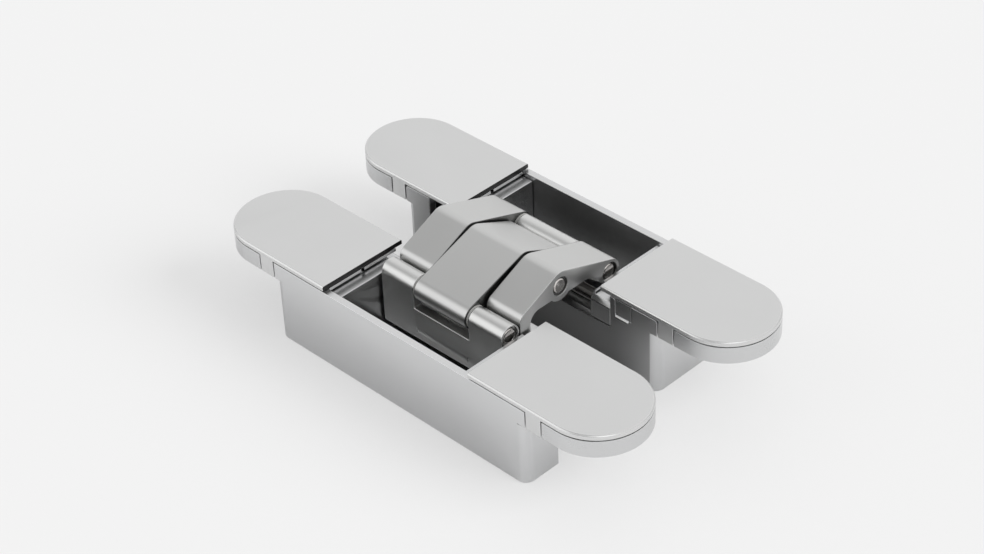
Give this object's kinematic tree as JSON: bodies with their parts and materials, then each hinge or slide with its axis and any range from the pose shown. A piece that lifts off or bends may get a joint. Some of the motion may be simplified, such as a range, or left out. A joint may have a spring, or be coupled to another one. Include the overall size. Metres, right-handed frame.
{
  "type": "concealed invisible door hinge",
  "caption": "Concealed door hinge opened flat, with let-in housings, round-ended cover caps and a folding linkage of arms and links on hidden pins.",
  "frame": {"origin": "on the plane of the housings' floors, midway between the leaves and midway along the hinge", "axes": "+X along the hinge, +Y from leaf A to leaf B, +Z out of the faces of the leaves"},
  "size_m": [0.15, 0.081, 0.0349],
  "materials": {
    "cap_metal": "satin nickel plate",
    "housing_metal": "satin nickel plate",
    "block_metal": "satin nickel plate",
    "arm_metal": "satin nickel plate",
    "link_metal": "satin nickel plate",
    "pin_steel": "bright turned",
    "washer_plastic": "grey slide washer",
    "screw_steel": "zinc plate"
  },
  "bodies": {
    "leaf_a": {"housing_a": "housing_metal", "root_pin_a": "pin_steel", "foot_pin_a": "pin_steel", "mounting_block_a_left": "block_metal", "mounting_block_a_right": "block_metal", "bearing_block_a_left": "block_metal", "bearing_block_a_right": "block_metal", "cover_cap_a_left": "cap_metal", "cover_cap_a_right": "cap_metal", "clamp_screw_a_left": "screw_steel", "clamp_screw_a_right": "screw_steel"},
    "outer_arms": {"outer_arm_left": "arm_metal", "outer_arm_right": "arm_metal", "apex_pin": "pin_steel", "apex_washer_left": "washer_plastic", "apex_washer_right": "washer_plastic", "tip_pin_b": "pin_steel", "tip_b_washer_left": "washer_plastic", "tip_b_washer_right": "washer_plastic"},
    "inner_arm": {"middle_arm": "arm_metal"},
    "steering_link_a": {"link_a": "link_metal", "tip_pin_a": "pin_steel", "tip_a_washer_left": "washer_plastic", "tip_a_washer_right": "washer_plastic"},
    "steering_link_b": {"link_b": "link_metal"},
    "leaf_b": {"housing_b": "housing_metal", "root_pin_b": "pin_steel", "foot_pin_b": "pin_steel", "mounting_block_b_left": "block_metal", "mounting_block_b_right": "block_metal", "bearing_block_b_left": "block_metal", "bearing_block_b_right": "block_metal", "cover_cap_b_left": "cap_metal", "cover_cap_b_right": "cap_metal", "clamp_screw_b_left": "screw_steel", "clamp_screw_b_right": "screw_steel"}
  },
  "joints": [
    {"name": "root_a_hinge", "type": "hinge", "parent": "leaf_a", "child": "outer_arms", "pos_m": [0, -0.014, 0.019], "axis": [1, 0, 0], "range_deg": [0, 110]},
    {"name": "apex_hinge", "type": "hinge", "parent": "outer_arms", "child": "inner_arm", "pos_m": [0, 0, 0.0303], "axis": [1, 0, 0], "range_deg": [-40, 0]},
    {"name": "tip_a_hinge", "type": "hinge", "parent": "inner_arm", "child": "steering_link_a", "pos_m": [0, -0.0196, 0.0245], "axis": [1, 0, 0], "range_deg": [0, 29]},
    {"name": "tip_b_hinge", "type": "hinge", "parent": "outer_arms", "child": "steering_link_b", "pos_m": [0, 0.0196, 0.0245], "axis": [1, 0, 0], "range_deg": [-29, 0]},
    {"name": "root_b_hinge", "type": "hinge", "parent": "inner_arm", "child": "leaf_b", "pos_m": [0, 0.014, 0.019], "axis": [1, 0, 0], "range_deg": [0, 110]}
  ],
  "couplings": [
    {"joint": "apex_hinge", "follows": "root_a_hinge", "ratio": -0.36364},
    {"joint": "tip_a_hinge", "follows": "root_a_hinge", "ratio": 0.26364},
    {"joint": "tip_b_hinge", "follows": "root_a_hinge", "ratio": -0.26364},
    {"joint": "root_b_hinge", "follows": "root_a_hinge", "ratio": 1}
  ]
}
